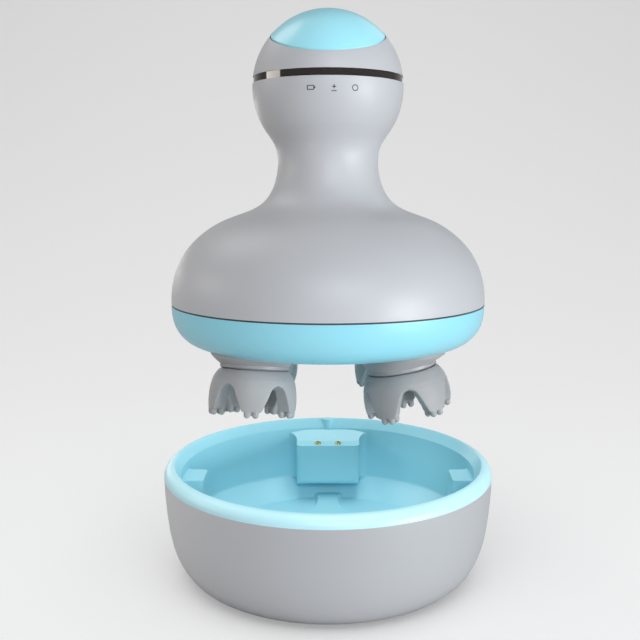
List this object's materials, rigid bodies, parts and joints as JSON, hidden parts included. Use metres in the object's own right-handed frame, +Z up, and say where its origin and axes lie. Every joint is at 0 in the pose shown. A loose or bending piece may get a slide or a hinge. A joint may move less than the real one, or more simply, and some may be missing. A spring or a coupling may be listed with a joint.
{
  "type": "electric scalp massager",
  "caption": "Hand-held scalp massager with ball knob, waisted bell and nutating five-fingered silicone heads, lifted above its round charging dock.",
  "frame": {"origin": "centre of the plane that the dock's feet stand on", "axes": "+Z up along the common axis of dock and handset, -Y towards the front, where the cap leans; charging block at +Y"},
  "size_m": [0.1296, 0.1296, 0.2164],
  "materials": {
    "shell_grey": "soft-touch satin grey",
    "tray_blue": "satin light blue",
    "cover_blue": "satin sky blue",
    "black_plastic": "moulded black",
    "foot_rubber": "matte rubber",
    "steel": "plain steel",
    "board_green": "solder mask",
    "gold": "gold plated",
    "window_dark": "smoked gloss",
    "seal_black": "matte",
    "cell_metal": "shrink-wrapped cell",
    "nylon": "natural nylon",
    "skirt_grey": "light grey elastomer",
    "silicone_grey": "mid-grey silicone",
    "core_grey": "grey plastic",
    "bronze": "sintered bronze"
  },
  "bodies": {
    "dock": {"dock_shell": "shell_grey", "dock_tray": "tray_blue", "dock_bottom": "black_plastic", "dock_feet": "foot_rubber", "dock_screws": "steel", "dock_board": "board_green", "power_inlet": "steel", "pin_barrels": "gold"},
    "charge_pin_left": {"charge_pin_left": "gold"},
    "charge_pin_right": {"charge_pin_right": "gold"},
    "handset": {"main_shell": "shell_grey", "crown_shell": "shell_grey", "indicator_window": "window_dark", "seam_gasket": "seal_black", "base_cover": "cover_blue", "gearbox_lower": "black_plastic", "gearbox_upper": "black_plastic", "gearbox_screws": "steel", "base_screws": "steel", "sun_axle": "steel", "compound_axle": "steel", "motor_can": "steel", "motor_screws": "steel", "main_board": "board_green", "board_components": "black_plastic", "battery_cell": "cell_metal", "battery_cradle": "black_plastic", "knob_frame": "black_plastic", "button_board": "board_green", "tact_switch": "black_plastic", "indicator_board": "board_green", "charge_pads": "gold", "skirt_1": "skirt_grey", "skirt_2": "skirt_grey", "skirt_3": "skirt_grey", "skirt_4": "skirt_grey", "output_bushes": "bronze"},
    "button": {"power_button": "cover_blue", "switch_plunger": "nylon"},
    "sun": {"sun_gear": "nylon"},
    "compound": {"compound_gear": "nylon"},
    "rotor": {"motor_pinion": "gold", "motor_shaft": "steel"},
    "crank_1": {"crank_1": "steel", "output_gear_1": "nylon"},
    "head_1": {"head_core_1": "core_grey", "head_pad_1": "silicone_grey"},
    "crank_2": {"crank_2": "steel", "output_gear_2": "nylon"},
    "head_2": {"head_core_2": "core_grey", "head_pad_2": "silicone_grey"},
    "crank_3": {"crank_3": "steel", "output_gear_3": "nylon"},
    "head_3": {"head_core_3": "core_grey", "head_pad_3": "silicone_grey"},
    "crank_4": {"crank_4": "steel", "output_gear_4": "nylon"},
    "head_4": {"head_core_4": "core_grey", "head_pad_4": "silicone_grey"}
  },
  "joints": [
    {"name": "handset_lift", "type": "slide", "parent": "dock", "child": "handset", "axis": [0, 0, 1], "range_m": [-0.0548, 0]},
    {"name": "button_press", "type": "slide", "parent": "handset", "child": "button", "axis": [0, -0.3746, 0.9272], "range_m": [-0.0008, 0], "stiffness_N_per_m": 2500, "springref_m": 0.0004},
    {"name": "sun_spin", "type": "hinge", "parent": "handset", "child": "sun", "pos_m": [0, 0, 0.1003], "axis": [0, 0, 1], "continuous": true},
    {"name": "compound_spin", "type": "hinge", "parent": "handset", "child": "compound", "pos_m": [0, 0.021, 0.1052], "axis": [0, 0, 1], "continuous": true},
    {"name": "motor_spin", "type": "hinge", "parent": "handset", "child": "rotor", "pos_m": [0, 0, 0.1098], "axis": [0, 0, 1], "continuous": true},
    {"name": "left_pin_press", "type": "slide", "parent": "dock", "child": "charge_pin_left", "axis": [0, 0, 1], "range_m": [-0.0008, 0], "stiffness_N_per_m": 400, "springref_m": 0.0005},
    {"name": "right_pin_press", "type": "slide", "parent": "dock", "child": "charge_pin_right", "axis": [0, 0, 1], "range_m": [-0.0008, 0], "stiffness_N_per_m": 400, "springref_m": 0.0005},
    {"name": "crank_1_spin", "type": "hinge", "parent": "handset", "child": "crank_1", "pos_m": [0.02652, 0.02652, 0.1003], "axis": [0, 0, 1], "continuous": true},
    {"name": "head_1_wobble", "type": "hinge", "parent": "crank_1", "child": "head_1", "pos_m": [0.02652, 0.02652, 0.0886], "axis": [-0.0606, -0.1864, 0.9806], "continuous": true, "deforming": ["skirt_1"]},
    {"name": "crank_2_spin", "type": "hinge", "parent": "handset", "child": "crank_2", "pos_m": [-0.02652, 0.02652, 0.1003], "axis": [0, 0, 1], "continuous": true},
    {"name": "head_2_wobble", "type": "hinge", "parent": "crank_2", "child": "head_2", "pos_m": [-0.02652, 0.02652, 0.0886], "axis": [0.1864, -0.0606, 0.9806], "continuous": true, "deforming": ["skirt_2"]},
    {"name": "crank_3_spin", "type": "hinge", "parent": "handset", "child": "crank_3", "pos_m": [-0.02652, -0.02652, 0.1003], "axis": [0, 0, 1], "continuous": true},
    {"name": "head_3_wobble", "type": "hinge", "parent": "crank_3", "child": "head_3", "pos_m": [-0.02652, -0.02652, 0.0886], "axis": [0.0606, 0.1864, 0.9806], "continuous": true, "deforming": ["skirt_3"]},
    {"name": "crank_4_spin", "type": "hinge", "parent": "handset", "child": "crank_4", "pos_m": [0.02652, -0.02652, 0.1003], "axis": [0, 0, 1], "continuous": true},
    {"name": "head_4_wobble", "type": "hinge", "parent": "crank_4", "child": "head_4", "pos_m": [0.02652, -0.02652, 0.0886], "axis": [-0.1864, 0.0606, 0.9806], "continuous": true, "deforming": ["skirt_4"]}
  ],
  "couplings": [
    {"joint": "compound_spin", "follows": "sun_spin", "ratio": -3.6667},
    {"joint": "motor_spin", "follows": "sun_spin", "ratio": 13.444},
    {"joint": "crank_1_spin", "follows": "sun_spin", "ratio": -1.5},
    {"joint": "head_1_wobble", "follows": "sun_spin", "ratio": 1.5},
    {"joint": "crank_2_spin", "follows": "sun_spin", "ratio": -1.5},
    {"joint": "head_2_wobble", "follows": "sun_spin", "ratio": 1.5},
    {"joint": "crank_3_spin", "follows": "sun_spin", "ratio": -1.5},
    {"joint": "head_3_wobble", "follows": "sun_spin", "ratio": 1.5},
    {"joint": "crank_4_spin", "follows": "sun_spin", "ratio": -1.5},
    {"joint": "head_4_wobble", "follows": "sun_spin", "ratio": 1.5}
  ]
}
